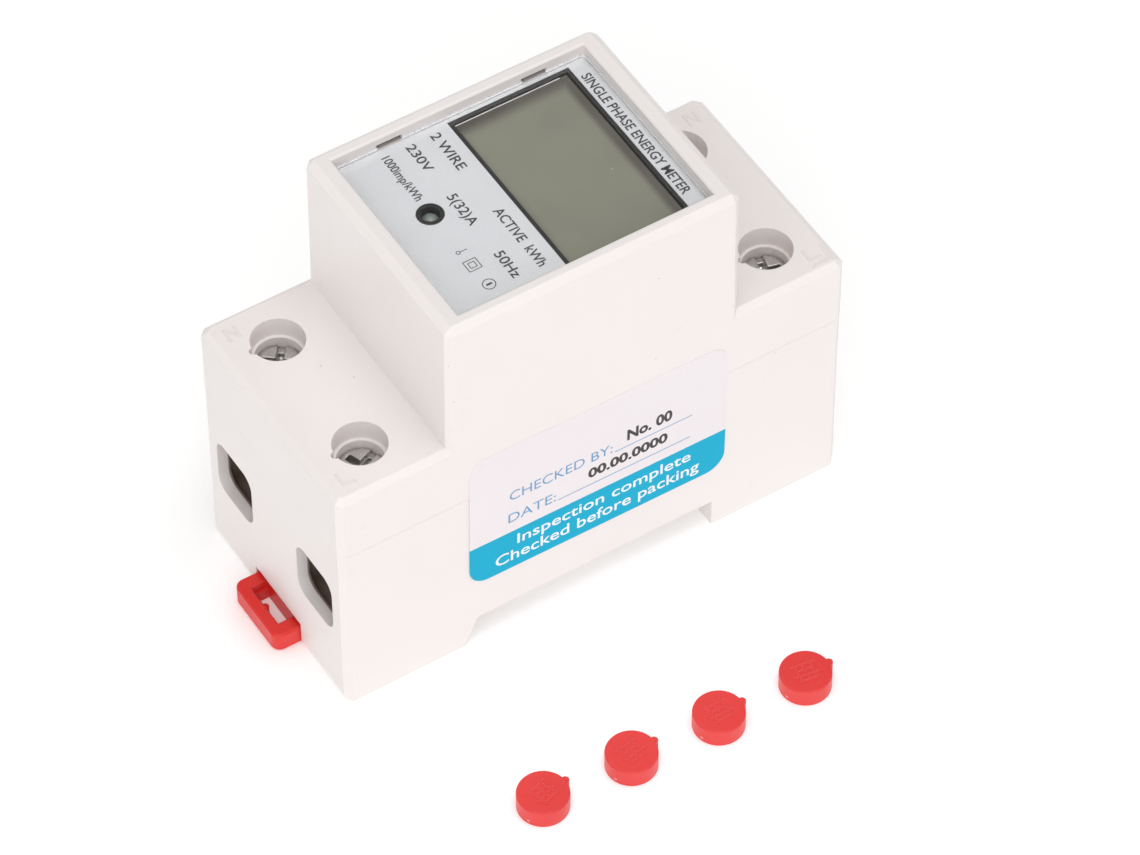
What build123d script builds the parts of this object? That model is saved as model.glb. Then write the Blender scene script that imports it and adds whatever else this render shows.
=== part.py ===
"""Two-module DIN-rail energy meter for single-phase supplies.

Frame: millimetres, +Z up and away from the rail. The origin is the middle of the rail seat,
the flat ceiling of the channel that rests on a 35 mm top-hat rail. +X runs along the body,
from the supply end (red rail clip) to the load end. -Y is the live side, +Y the neutral side.
"""
import os
from build123d import *

os.makedirs("parts", exist_ok=True)

# ---------------------------------------------------------------- driving dimensions
# housing
body_length = 78.5
body_width = 36.0              # two 18 mm modules
channel_depth = 4.75           # rail seat down to the feet
shoulder_z = 37.0              # flat top of the terminal blocks
top_z = 60.0                   # rim of the raised display part
seam_z = 25.75                 # parting line between base and cover
crown_length = 45.0            # raised part, the standard 45 mm panel cut-out
crown_root = 4.0               # it starts this far below the shoulder
crown_draft = 0.25             # each end of the raised part leans in by this much
wall = 2.0
corner_cut = 0.95              # bevel on the block's outer edges
crown_cut = 1.05               # bevel on the raised part's edges
base_inset = 0.05              # the base is this much smaller all round than the cover
seam_gap = 0.05
lip_height = 1.5
lip_wall = 1.05                # cover wall left outside the base's lip
lip_gap = 0.1
sole_radius = 1.2              # feet, at the two ends
channel_radius = 0.8           # foot edge on the clip side of the channel
core_size = (4.2, 6.6, 3.2)    # hollows under the feet
core_rib = 1.2
core_count = 3

# rail channel, fixed lip and slot for the sliding clip
rail_width = 35.0
channel_slack = 2.3            # channel wider than the rail by this much
channel_slope = 2.05           # the clip side of the channel spreads by this much at the feet
lip_bite = 1.25                # how far the fixed lip reaches behind the rail's edge
clip_bite = 1.55               # the same for the clip's jaw, locked
rail_brim_gap = 1.4            # rail seat to the back of lip and jaw
fixed_lip_width = 24.0
lip_lead_in = 1.3
clip_travel = 3.6
clip_width = 11.4
clip_thickness = 3.2
clip_reach = 3.75              # tab standing out of the end wall
clip_side_gap = 0.2
clip_roof_gap = 0.85
tongue_depth = 1.3
tongue_height = 1.4
tongue_length = 3.0
tongue_start = 0.95            # from the channel wall to the tongues
stop_lug = 1.2
stop_lug_width = 4.0
stop_gap = 0.2
finger_hole = (2.5, 7.2)       # shelf of the finger hole, X and Y
finger_hole_through = (1.9, 6.4)
finger_shelf_depth = 1.5
spring_slit = 0.7
spring_finger_length = 7.6
spring_finger_width = 1.55
tab_bar = 1.6                  # tab's outer bar, in front of the finger hole
tab_radius = 1.4
tab_edge_cut = 0.25
hook_radius, hook_y = 0.55, 0.9

# terminals
terminal_from_end = 7.85       # screw axis to the body's end and to its side
terminal_from_side = 7.55
window_width = 9.2
window_height = 9.7
window_radius = 2.2
window_z = 12.35
well_radius = 3.7
well_depth = 3.3
well_notch_radius = 0.6
well_tube_wall = 1.3
screw_bore_gap = 0.15
screw_head_radius = 3.1
screw_head_height = 2.2
screw_head_edge = 0.5
screw_shank_radius = 2.45
screw_tip_cut = 0.5
slot_width, slot_depth = 1.1, 0.8
cross_width, cross_span, cross_depth, cross_taper = 1.15, 4.6, 1.5, 12
thread_clearance = 0.05
guide_clearance = 0.1
guide_thickness = 2.9
head_seat_gap = 0.2
bar_side_gap = 0.7             # bar to the inside of the cages
bar_thickness = 1.8
bar_z = 16.6                   # underside of the neutral bar and of the shunt
bar_end_gap = 2.0              # bar's end to the inside of the end wall
bar_notch_gap = 0.2
bar_radius = 1.0
cage_half_width = 5.2
cage_length = 8.0
cage_side = 1.0
cage_floor = 1.2
cage_top = 1.6
cage_corner = 1.1
cage_floor_z = 6.8
cage_bar_gap = 0.7             # above the bar, with the cage right down
cage_travel = 6.3
cage_head_gap = 0.3            # above the cage, with the cage right up
cage_side_gap = 0.4
screw_tip_gap = 0.05
pocket_floor_gap = 0.5
pocket_length = 12.75
barrier = 1.6
shunt_element_length = 12.0
shunt_element_thickness = 1.4

# raised letters on the shoulders
letter_from_end = 3.3
letter_from_side = 3.5
letter_width, letter_height = 1.5, 2.2
letter_line, letter_relief = 0.32, 0.1
mark_inset, mark_length = 1.3, 3.0

# display
rim_width_x, rim_width_y = 2.95, 2.35
rim_edge_cut = 0.25
plate_z = 56.8                 # ledge that the face plate lies on
plate_thickness = 0.4
ledge_thickness = 1.5
ledge_width_x, ledge_width_y = 1.7, 0.45
part_gap = 0.1                 # drop-in clearance of plate, window and bezel
window_thickness = 1.2
window_tab_x = (-10.6, 11.55)
window_tab_length = 3.6
window_tab_reach = 0.6
window_tab_gap = 0.15
lcd_x = 7.1
bezel_length_x = 18.6
bezel_end_gap = 0.2            # bezel to the edge of the ledge
bezel_line = 0.55
bezel_height = 2.7
glass_thickness = 2.2
glass_below_plate = 0.3
reflector_thickness = 1.1
lcd_pin_pitch = 2.54
lcd_pins_per_side = 11
led_x, led_y = -12.4, 2.5
led_radius = 1.5
led_flange, led_flange_height = 0.4, 1.0
led_sleeve_radius = 1.85
led_eye_radius = 1.3
led_clearance = 0.05

# circuit boards
board_thickness = 1.6
board_gap = 0.6                # boards to the walls around them
power_board_z = 22.0
rest_spacing = 30.0            # ledges on the long walls that carry the power board
rest_width, rest_depth = 2.4, 1.4
leg_size = 2.0                 # legs of the cover that press on the display board
leg_inset_x, leg_inset_y = 1.75, 1.4
leg_gap = 0.05
display_board_z = 48.0
cavity_floor_z = 2.0

# case screws
case_screw_from_end = 6.65
case_screw_radius = 1.45
case_screw_head_radius = 2.6
case_screw_head_height = 2.0
case_screw_seat_z = 14.0
case_screw_length = 17.0
case_screw_edge, case_screw_tip = 0.4, 0.6
case_cross_span, case_cross_width, case_cross_depth = 3.2, 0.8, 1.2
case_post_radius = 3.3
web_core = 3.0                 # hollow in the web between two terminals
rib = 1.2
case_hole_gap = 0.15
case_head_gap = 0.2
pilot_gap = 0.03
pilot_end_gap = 0.5

# inspection label and loose sealing caps
label_length = 40.3
label_height = 24.9
label_radius = 3.0
label_x, label_z = 0.4, 19.6
label_turn = -0.7              # stuck on very slightly askew
label_thickness = 0.1
cap_well_gap = 0.1
cap_thickness = 2.8
cap_wall, cap_hollow = 0.9, 0.8
cap_row_x, cap_row_y = -26.0, -46.0
cap_pitch = 13.41
cap_row_turn = -2.57
cap_count = 4
cap_edge_radius = 0.2
cap_nib_turn, cap_nib_step = 4.0, -2.5   # each cap lies turned a little differently

# ---------------------------------------------------------------- worked-out places
half_l = body_length / 2
half_w = body_width / 2
foot_z = -channel_depth
inner_x = half_l - wall
inner_y = half_w - wall
crown_half = crown_length / 2
crown_inner_x = crown_half - crown_draft - wall
channel_half = (rail_width + channel_slack) / 2
terminal_x = half_l - terminal_from_end
terminal_y = half_w - terminal_from_side
case_screw_x = half_l - case_screw_from_end
web_half_width = terminal_y - cage_half_width - cage_side_gap
web_top_z = seam_z - 0.75
pocket_floor_z = cage_floor_z - pocket_floor_gap
pocket_x = inner_x - pocket_length
bar_width = 2 * (cage_half_width - cage_side - bar_side_gap)
bar_top_z = bar_z + bar_thickness
cage_inside_height = bar_top_z + cage_bar_gap - cage_floor_z - cage_floor
cage_top_z = cage_floor_z + cage_floor + cage_inside_height + cage_top
guide_z = cage_top_z + cage_travel + cage_head_gap
screw_head_z = guide_z + guide_thickness + head_seat_gap
screw_head_top = screw_head_z + screw_head_height
screw_bore_radius = screw_head_radius + screw_bore_gap
well_tube_radius = well_radius + well_tube_wall
cap_radius = well_radius - cap_well_gap
clip_top_z = -rail_brim_gap
clip_z = clip_top_z - clip_thickness
slot_roof_z = clip_top_z + clip_roof_gap
slot_half = clip_width / 2 + clip_side_gap
recess_half_x = crown_half - crown_draft - rim_width_x
recess_half_y = half_w - rim_width_y
aperture_half_x = recess_half_x - ledge_width_x
aperture_half_y = recess_half_y - ledge_width_y
bezel_length_y = 2 * (aperture_half_y - bezel_end_gap - part_gap)
leg_x = crown_inner_x - leg_inset_x
leg_y = inner_y - leg_inset_y
glass_top_z = plate_z + plate_thickness - glass_below_plate
glass_z = glass_top_z - glass_thickness
power_top_z = power_board_z + board_thickness
display_top_z = display_board_z + board_thickness
window_bottom_z = plate_z + plate_thickness + part_gap
terminals = {
    "live_in": (-terminal_x, -terminal_y, 20.0),
    "live_out": (terminal_x, -terminal_y, 75.0),
    "neutral_in": (-terminal_x, terminal_y, 52.0),
    "neutral_out": (terminal_x, terminal_y, 8.0),
}
terminal_spots = [(x, y) for x, y, turn in terminals.values()]
BOTTOM = (Align.CENTER, Align.CENTER, Align.MIN)
START = (Align.MIN, Align.CENTER, Align.MIN)
HANG = (Align.CENTER, Align.CENTER, Align.MAX)
THROUGH = (Align.MIN, Align.CENTER, Align.CENTER)
THROUGH_BACK = (Align.MAX, Align.CENTER, Align.CENTER)


def keep(piece, node):
    """Label a finished piece and write its STEP file."""
    piece.part.label = node
    export_step(piece.part, f"parts/{node}.step")


# ---------------------------------------------------------------- base shell
base_half_l = half_l - base_inset
base_half_w = half_w - base_inset

with BuildPart() as base_shell:
    with BuildSketch(Plane.XZ):
        with BuildLine():
            Polyline(
                (-base_half_l, seam_z - seam_gap),
                (-base_half_l, foot_z),
                (-channel_half - channel_slope, foot_z),
                (-channel_half, 0),
                (channel_half, 0),
                (channel_half, foot_z),
                (base_half_l, foot_z),
                (base_half_l, seam_z - seam_gap),
                close=True,
            )
        make_face()
    extrude(amount=base_half_w, both=True)
    uprights = base_shell.edges().filter_by(Axis.Z)
    chamfer(uprights.group_by(Axis.X)[0] + uprights.group_by(Axis.X)[-1], corner_cut)
    soles = base_shell.edges().filter_by(Axis.Y).group_by(Axis.Z)[0].sort_by(Axis.X)
    fillet([soles[0], soles[-1]], sole_radius)
    fillet(soles[1], channel_radius)

    # electronics bay, then a pocket round each terminal
    with Locations((0, 0, cavity_floor_z)):
        Box(2 * (pocket_x - barrier), 2 * inner_y, seam_z, align=BOTTOM, mode=Mode.SUBTRACT)
    pocket_mid_x = (inner_x + pocket_x) / 2
    pocket_mid_y = (inner_y + web_half_width) / 2
    with Locations((0, 0, pocket_floor_z)):
        with GridLocations(2 * pocket_mid_x, 2 * pocket_mid_y, 2, 2):
            Box(inner_x - pocket_x, inner_y - web_half_width, seam_z, align=BOTTOM,
                mode=Mode.SUBTRACT)
        with GridLocations(2 * (pocket_x + rib + web_core / 2), 0, 2, 1):
            Box(web_core, 2 * (web_half_width - rib), seam_z, align=BOTTOM, mode=Mode.SUBTRACT)
    with Locations((0, 0, web_top_z)):
        Box(2 * inner_x, 2 * inner_y, seam_z, align=BOTTOM, mode=Mode.SUBTRACT)

    # lip that the cover drops over
    with BuildSketch(Plane.XY.offset(web_top_z)):
        Rectangle(2 * (half_l - lip_wall - lip_gap), 2 * (half_w - lip_wall - lip_gap))
        Rectangle(2 * inner_x, 2 * inner_y, mode=Mode.SUBTRACT)
    extrude(amount=seam_z + lip_height - web_top_z)

    # notches that the bars lie in, through the barrier walls
    with Locations((0, 0, bar_z)):
        with GridLocations(2 * (pocket_x - barrier / 2), 2 * terminal_y, 2, 2):
            Box(barrier, bar_width + bar_notch_gap, seam_z, align=BOTTOM, mode=Mode.SUBTRACT)

    # wire windows through the end walls
    for end in (-1, 1):
        with BuildSketch(Plane.YZ.offset(end * inner_x)):
            with Locations((0, window_z)):
                with GridLocations(2 * terminal_y, 0, 2, 1):
                    RectangleRounded(window_width, window_height, window_radius)
        extrude(amount=end * wall, mode=Mode.SUBTRACT)

    # board rests against the long walls
    with Locations((0, 0, cavity_floor_z)):
        with GridLocations(rest_spacing, 2 * inner_y - rest_depth, 2, 2):
            Box(rest_width, rest_depth, power_board_z - cavity_floor_z, align=BOTTOM)

    # case screw holes
    with Locations((0, 0, foot_z)):
        with GridLocations(2 * case_screw_x, 0, 2, 1):
            Cylinder(case_screw_head_radius + case_head_gap, case_screw_seat_z - foot_z, align=BOTTOM,
                     mode=Mode.SUBTRACT)
            Cylinder(case_screw_radius + case_hole_gap, seam_z - foot_z, align=BOTTOM,
                     mode=Mode.SUBTRACT)

    # fixed lip that hooks behind the rail's far edge
    with BuildSketch(Plane.XZ):
        with BuildLine():
            lip_x = rail_width / 2 - lip_bite
            Polyline(
                (channel_half, -rail_brim_gap),
                (lip_x, -rail_brim_gap),
                (lip_x, foot_z + lip_lead_in),
                (lip_x + lip_lead_in, foot_z),
                (channel_half + wall / 4, foot_z),
                (channel_half + wall / 4, -rail_brim_gap),
                close=True,
            )
        make_face()
    extrude(amount=fixed_lip_width / 2, both=True)

    # slot for the clip, with side grooves for its tongues and a stop lug
    with Locations((-half_l, 0, foot_z)):
        Box(half_l - channel_half, 2 * slot_half, slot_roof_z - foot_z, align=START,
            mode=Mode.SUBTRACT)
    tongue_x = -channel_half - tongue_start
    groove_start_x = tongue_x - tongue_length - clip_travel - stop_gap
    groove_mid_z = (clip_top_z + clip_z) / 2
    with Locations((groove_start_x, 0, groove_mid_z)):
        Box(-channel_half - groove_start_x, 2 * (slot_half + tongue_depth),
            tongue_height + 2 * stop_gap, align=THROUGH, mode=Mode.SUBTRACT)
    lug_x = tongue_x - tongue_length - clip_travel
    with Locations((lug_x, 0, slot_roof_z + wall / 4)):
        Box(stop_lug, stop_lug_width, slot_roof_z + wall / 4 - clip_z - 2 * stop_gap, align=HANG)

    # cored feet, clear of the slot and of the case screws
    foot_mid_x = (half_l + channel_half + channel_slope) / 2
    core_mid_y = inner_y - core_size[1] / 2
    core_pitch_x = core_size[0] + core_rib
    with Locations((-foot_mid_x, 0, foot_z), (foot_mid_x, 0, foot_z)):
        with GridLocations(core_pitch_x, 2 * core_mid_y, core_count, 2):
            Box(*core_size, align=BOTTOM, mode=Mode.SUBTRACT)
keep(base_shell, "base_shell")


# ---------------------------------------------------------------- top cover
with BuildPart() as crown:
    with BuildSketch(Plane.XZ):
        with BuildLine():
            Polyline(
                (-crown_half, shoulder_z - crown_root),
                (-crown_half, shoulder_z),
                (-crown_half + crown_draft, top_z),
                (crown_half - crown_draft, top_z),
                (crown_half, shoulder_z),
                (crown_half, shoulder_z - crown_root),
                close=True,
            )
        make_face()
    extrude(amount=half_w, both=True)
    slanted = crown.edges().filter_by(Axis.Y, reverse=True).filter_by(Axis.X, reverse=True)
    chamfer(slanted + crown.edges().group_by(Axis.Z)[-1], crown_cut)

with BuildPart() as top_cover:
    with BuildSketch(Plane.XY.offset(seam_z)):
        Rectangle(body_length, body_width)
        chamfer(vertices(), corner_cut)
    extrude(amount=shoulder_z - seam_z)
    chamfer(faces().sort_by(Axis.Z)[-1].edges(), corner_cut)
    add(crown.part)

    # hollow inside, with a rebate for the base's lip
    with Locations((0, 0, seam_z)):
        Box(2 * inner_x, 2 * inner_y, shoulder_z - wall - seam_z, align=BOTTOM, mode=Mode.SUBTRACT)
        Box(2 * (half_l - lip_wall), 2 * (half_w - lip_wall), lip_height + lip_gap, align=BOTTOM,
            mode=Mode.SUBTRACT)
    with Locations((0, 0, seam_z)):
        Box(2 * crown_inner_x, 2 * inner_y, plate_z - ledge_thickness - seam_z, align=BOTTOM,
            mode=Mode.SUBTRACT)

    # display recess, its ledge and the slots for the window's tabs
    with Locations((0, 0, plate_z)):
        Box(2 * recess_half_x, 2 * recess_half_y, top_z, align=BOTTOM, mode=Mode.SUBTRACT)
    with Locations((0, 0, plate_z)):
        Box(2 * aperture_half_x, 2 * aperture_half_y, 3 * ledge_thickness, mode=Mode.SUBTRACT)
    rim_edges = edges().group_by(Axis.Z)[-1]
    chamfer(rim_edges.filter_by(lambda e: abs(e.center().X) < recess_half_x + part_gap
                                and abs(e.center().Y) < recess_half_y + part_gap), rim_edge_cut)
    with Locations((window_tab_x[0], 0, window_bottom_z), (window_tab_x[1], 0, window_bottom_z)):
        Box(window_tab_length + 2 * window_tab_gap, 2 * (recess_half_y + window_tab_reach + window_tab_gap),
            window_thickness + 2 * part_gap, align=BOTTOM, mode=Mode.SUBTRACT)

    # wells with a ledge, a notch, a screw bore and a guide for the shank
    with Locations((0, 0, guide_z)):
        with Locations(*terminal_spots):
            Cylinder(well_tube_radius, shoulder_z - wall / 2 - guide_z, align=BOTTOM)
            Cylinder(screw_shank_radius + guide_clearance, shoulder_z, align=BOTTOM,
                     mode=Mode.SUBTRACT)
    with Locations((0, 0, guide_z + guide_thickness)):
        with Locations(*terminal_spots):
            Cylinder(screw_bore_radius, shoulder_z, align=BOTTOM, mode=Mode.SUBTRACT)
    with Locations((0, 0, shoulder_z - well_depth)):
        with Locations(*terminal_spots):
            Cylinder(well_radius, well_depth + 1.0, align=BOTTOM, mode=Mode.SUBTRACT)
        with Locations(*[(x - well_radius, y) for x, y in terminal_spots]):
            Cylinder(well_notch_radius, well_depth + 1.0, align=BOTTOM, mode=Mode.SUBTRACT)

    # posts for the case screws, and legs that press on the display board
    with Locations((0, 0, web_top_z + leg_gap)):
        with GridLocations(2 * case_screw_x, 0, 2, 1):
            Cylinder(case_post_radius, shoulder_z - wall / 2 - web_top_z, align=BOTTOM)
            Cylinder(case_screw_radius + pilot_gap,
                     case_screw_seat_z + case_screw_length + pilot_end_gap - web_top_z,
                     align=BOTTOM, mode=Mode.SUBTRACT)
    with Locations((0, 0, display_top_z + leg_gap)):
        with GridLocations(2 * leg_x, 2 * leg_y, 2, 2):
            Box(leg_size, leg_size, plate_z - ledge_thickness / 2 - display_top_z, align=BOTTOM)

    # raised terminal letters, and a corner mark beside the live output
    with BuildSketch(Plane.XY.offset(shoulder_z)):
        for letter_x in (letter_from_end - half_l, half_l - letter_from_end):
            with Locations((letter_x, half_w - letter_from_side)):
                with Locations((-letter_width / 2, 0), (letter_width / 2, 0)):
                    Rectangle(letter_line, letter_height)
                Polygon(
                    (-letter_width / 2 - letter_line / 2, letter_height / 2),
                    (-letter_width / 2 + letter_line / 2, letter_height / 2),
                    (letter_width / 2 + letter_line / 2, -letter_height / 2),
                    (letter_width / 2 - letter_line / 2, -letter_height / 2),
                    align=None,
                )
            with Locations((letter_x, letter_from_side - half_w)):
                with Locations((-letter_width / 2, 0)):
                    Rectangle(letter_line, letter_height)
                with Locations((0, (letter_line - letter_height) / 2)):
                    Rectangle(letter_width + letter_line, letter_line)
        with Locations((half_l - mark_inset, mark_inset - half_w)):
            Rectangle(letter_line, mark_length, align=(Align.MAX, Align.MIN))
            Rectangle(mark_length, letter_line, align=(Align.MAX, Align.MIN))
    extrude(amount=letter_relief)
keep(top_cover, "top_cover")


# ---------------------------------------------------------------- display stack
with BuildPart() as clear_window:
    with BuildSketch(Plane.XY.offset(window_bottom_z)):
        RectangleRounded(2 * (recess_half_x - part_gap), 2 * (recess_half_y - part_gap), 0.5)
        with Locations((window_tab_x[0], 0), (window_tab_x[1], 0)):
            Rectangle(window_tab_length, 2 * (recess_half_y + window_tab_reach))
    extrude(amount=window_thickness)
    chamfer(faces().sort_by(Axis.Z)[-1].edges(), 0.15)
keep(clear_window, "clear_window")

with BuildPart() as face_plate:
    with BuildSketch(Plane.XY.offset(plate_z)):
        Rectangle(2 * (recess_half_x - part_gap), 2 * (recess_half_y - part_gap))
        with Locations((lcd_x, 0)):
            Rectangle(bezel_length_x + part_gap, bezel_length_y + part_gap, mode=Mode.SUBTRACT)
        with Locations((led_x, led_y)):
            Circle(led_sleeve_radius + led_clearance, mode=Mode.SUBTRACT)
    extrude(amount=plate_thickness)
keep(face_plate, "face_plate")

with BuildPart() as lcd_bezel:
    with BuildSketch(Plane.XY.offset(plate_z + plate_thickness)):
        with Locations((lcd_x, 0)):
            Rectangle(bezel_length_x, bezel_length_y)
            Rectangle(bezel_length_x - 2 * bezel_line, bezel_length_y - 2 * bezel_line, mode=Mode.SUBTRACT)
    extrude(amount=-bezel_height)
keep(lcd_bezel, "lcd_bezel")

glass_x = bezel_length_x - 2 * bezel_line - part_gap
glass_y = bezel_length_y - 2 * bezel_line - part_gap
with BuildPart() as lcd_glass:
    with Locations((lcd_x, 0, glass_z)):
        Box(glass_x, glass_y, glass_thickness, align=BOTTOM)
    chamfer(faces().sort_by(Axis.Z)[-1].edges(), 0.12)
keep(lcd_glass, "lcd_glass")

with BuildPart() as lcd_reflector:
    with Locations((lcd_x, 0, glass_z)):
        Box(glass_x - 2.0, glass_y, reflector_thickness, align=HANG)
keep(lcd_reflector, "lcd_reflector")

with BuildPart() as lcd_pins:
    with Locations((lcd_x, 0, display_top_z)):
        with GridLocations(glass_x - 0.9, lcd_pin_pitch, 2, lcd_pins_per_side):
            Box(0.3, 0.5, glass_z - display_top_z, align=BOTTOM)
keep(lcd_pins, "lcd_pins")

led_dome_z = plate_z + plate_thickness - 0.5
with BuildPart() as pulse_led:
    with Locations((led_x, led_y, display_top_z)):
        Cylinder(led_radius + led_flange, led_flange_height, align=BOTTOM)
        Cylinder(led_radius, led_dome_z - led_radius - display_top_z, align=BOTTOM)
    with Locations((led_x, led_y, led_dome_z - led_radius)):
        Sphere(led_radius)
keep(pulse_led, "pulse_led")

sleeve_z = display_top_z + led_flange_height + 0.2
# the bore is wide up to where the dome has become narrower than the eye
led_seat_z = led_dome_z - led_radius + (led_radius**2 - led_eye_radius**2) ** 0.5 + led_clearance
with BuildPart() as led_sleeve:
    with Locations((led_x, led_y, sleeve_z)):
        Cylinder(led_sleeve_radius, plate_z + plate_thickness + 0.05 - sleeve_z, align=BOTTOM)
        Cylinder(led_radius + led_clearance, led_seat_z - sleeve_z, align=BOTTOM, mode=Mode.SUBTRACT)
        Cylinder(led_eye_radius, plate_z, align=BOTTOM, mode=Mode.SUBTRACT)
keep(led_sleeve, "led_sleeve")


# ---------------------------------------------------------------- circuit boards and their parts
power_half_x = pocket_x - barrier - board_gap
board_half_y = inner_y - board_gap
with BuildPart() as power_board:
    with Locations((0, 0, power_board_z)):
        Box(2 * power_half_x, 2 * board_half_y, board_thickness, align=BOTTOM)
    fillet(edges().filter_by(Axis.Z), 0.8)
keep(power_board, "power_board")

with BuildPart() as display_board:
    with Locations((0, 0, display_board_z)):
        Box(2 * (crown_inner_x - board_gap), 2 * board_half_y, board_thickness, align=BOTTOM)
    fillet(edges().filter_by(Axis.Z), 0.8)
keep(display_board, "display_board")

header_pins_count, header_pitch, header_pin = 6, 2.54, 0.64
header_x = 3.65 - crown_inner_x
header_block_height = 2.5
with BuildPart() as header_pins:
    with Locations((header_x, 0, power_top_z)):
        with GridLocations(header_pitch, header_pitch, 1, header_pins_count):
            Box(header_pin, header_pin, display_board_z - power_top_z, align=BOTTOM)
keep(header_pins, "header_pins")

with BuildPart() as header_blocks:
    block_length = header_pins_count * header_pitch
    with Locations((header_x, 0, power_top_z),
                   (header_x, 0, display_board_z - header_block_height)):
        Box(header_pitch, block_length, header_block_height, align=BOTTOM)
    with Locations((header_x, 0, power_top_z)):
        with GridLocations(header_pitch, header_pitch, 1, header_pins_count):
            Box(header_pin + 0.04, header_pin + 0.04, display_board_z - power_top_z, align=BOTTOM,
                mode=Mode.SUBTRACT)
keep(header_blocks, "header_blocks")

meter_chip_at = (0.5, 0.0)
meter_chip_size = (15.4, 7.5, 2.2)
controller_at = (5.5, 0.0)
controller_size = 10.0
controller_height = 1.4
chip_lift = 0.15
with BuildPart() as metering_chip:
    with Locations((*meter_chip_at, power_top_z + chip_lift)):
        Box(*meter_chip_size, align=BOTTOM)
    chamfer(faces().sort_by(Axis.Z)[-1].edges(), 0.3)
keep(metering_chip, "metering_chip")

with BuildPart() as controller_chip:
    with Locations((*controller_at, display_board_z - chip_lift)):
        Box(controller_size, controller_size, controller_height, align=HANG)
    chamfer(faces().sort_by(Axis.Z)[0].edges(), 0.2)
keep(controller_chip, "controller_chip")

lead_reach, lead_width, lead_height = 1.3, 0.4, 0.9
with BuildPart() as chip_leads:
    with Locations((*meter_chip_at, power_top_z)):
        with GridLocations(1.27, meter_chip_size[1] + lead_reach, 12, 2):
            Box(lead_width, lead_reach, lead_height, align=BOTTOM)
    with Locations((*controller_at, display_board_z)):
        with GridLocations(0.8, controller_size + lead_reach, 11, 2):
            Box(lead_width, lead_reach, lead_height, align=HANG)
        with GridLocations(controller_size + lead_reach, 0.8, 2, 11):
            Box(lead_reach, lead_width, lead_height, align=HANG)
keep(chip_leads, "chip_leads")

with BuildPart() as crystal:
    with BuildSketch(Plane.XY.offset(display_board_z)):
        with Locations((-8.0, -9.0)):
            SlotOverall(10.6, 3.9)
    extrude(amount=-3.4)
    fillet(faces().sort_by(Axis.Z)[0].edges(), 0.5)
keep(crystal, "crystal")

with BuildPart() as film_capacitor:
    with Locations((7.0, 10.0, power_top_z)):
        Box(18.0, 8.5, 15.0, align=BOTTOM)
    fillet(edges().filter_by(Axis.Z) + faces().sort_by(Axis.Z)[-1].edges(), 0.6)
keep(film_capacitor, "film_capacitor")

can_x, can_y, can_radius, can_height = -8.5, 9.6, 4.0, 12.0
with BuildPart() as bulk_capacitor:
    with BuildSketch(Plane.XZ.offset(-can_y)):
        with BuildLine():
            Polyline(
                (can_x, power_top_z),
                (can_x + can_radius, power_top_z),
                (can_x + can_radius, power_top_z + 1.4),
                (can_x + can_radius - 0.4, power_top_z + 1.8),
                (can_x + can_radius, power_top_z + 2.2),
                (can_x + can_radius, power_top_z + can_height - 0.4),
                (can_x + can_radius - 0.4, power_top_z + can_height),
                (can_x, power_top_z + can_height),
                close=True,
            )
        make_face()
    revolve(axis=Axis((can_x, can_y, 0), (0, 0, 1)))
keep(bulk_capacitor, "bulk_capacitor")

disc_x, disc_y, disc_radius, disc_thickness = -10.5, -11.0, 5.0, 4.0
disc_z = power_top_z + 2.5 + disc_radius
with BuildPart() as varistor:
    with BuildSketch(Plane.XZ.offset(-disc_y)):
        with Locations((disc_x, disc_z)):
            Circle(disc_radius)
    extrude(amount=disc_thickness / 2, both=True)
    fillet(edges(), 1.4)
    with Locations((disc_x, disc_y, power_top_z)):
        with GridLocations(5.0, 1.4, 2, 1):
            Cylinder(0.35, disc_z - power_top_z, align=BOTTOM)
keep(varistor, "varistor")


def axial_part(spots, body_radius, body_length, lead_radius, span, rise):
    """Axial components lying along X, with leads bent down to the power board."""
    with BuildPart() as piece:
        for x, y in spots:
            with Locations((x, y, power_top_z + rise)):
                Cylinder(body_radius, body_length, rotation=(0, 90, 0))
                Cylinder(lead_radius, span, rotation=(0, 90, 0))
            with Locations((x, y, power_top_z)):
                with GridLocations(span, 1.0, 2, 1):
                    Cylinder(lead_radius, rise, align=BOTTOM)
    return piece


dropper_resistor = axial_part([(8.5, -12.2)], 2.1, 11.0, 0.4, 15.0, 3.0)
keep(dropper_resistor, "dropper_resistor")
rectifier_diodes = axial_part([(6.5, -7.4), (17.5, -7.4)], 1.2, 5.0, 0.35, 8.0, 1.8)
keep(rectifier_diodes, "rectifier_diodes")


# ---------------------------------------------------------------- bars, shunt and their pins
bar_half = inner_x - bar_end_gap
with BuildPart() as neutral_bar:
    with Locations((0, terminal_y, bar_z)):
        Box(2 * bar_half, bar_width, bar_thickness, align=BOTTOM)
    fillet(edges().filter_by(Axis.Z), bar_radius)
keep(neutral_bar, "neutral_bar")

tab_length = bar_half - shunt_element_length / 2
with BuildPart() as shunt_tabs:
    with Locations((0, -terminal_y, bar_z)):
        with GridLocations(shunt_element_length + tab_length, 0, 2, 1):
            Box(tab_length, bar_width, bar_thickness, align=BOTTOM)
    tab_ends = edges().filter_by(Axis.Z).group_by(Axis.X)
    fillet(tab_ends[0] + tab_ends[-1], bar_radius)
keep(shunt_tabs, "shunt_tabs")

with BuildPart() as shunt_element:
    with Locations((0, -terminal_y, bar_z + (bar_thickness - shunt_element_thickness) / 2)):
        Box(shunt_element_length, bar_width, shunt_element_thickness, align=BOTTOM)
keep(shunt_element, "shunt_element")

with BuildPart() as sense_pins:
    with Locations((0, -terminal_y, bar_top_z)):
        with GridLocations(shunt_element_length + 2.4, 1.0, 2, 1):
            Cylinder(0.5, power_board_z - bar_top_z, align=BOTTOM)
keep(sense_pins, "sense_pins")

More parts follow.
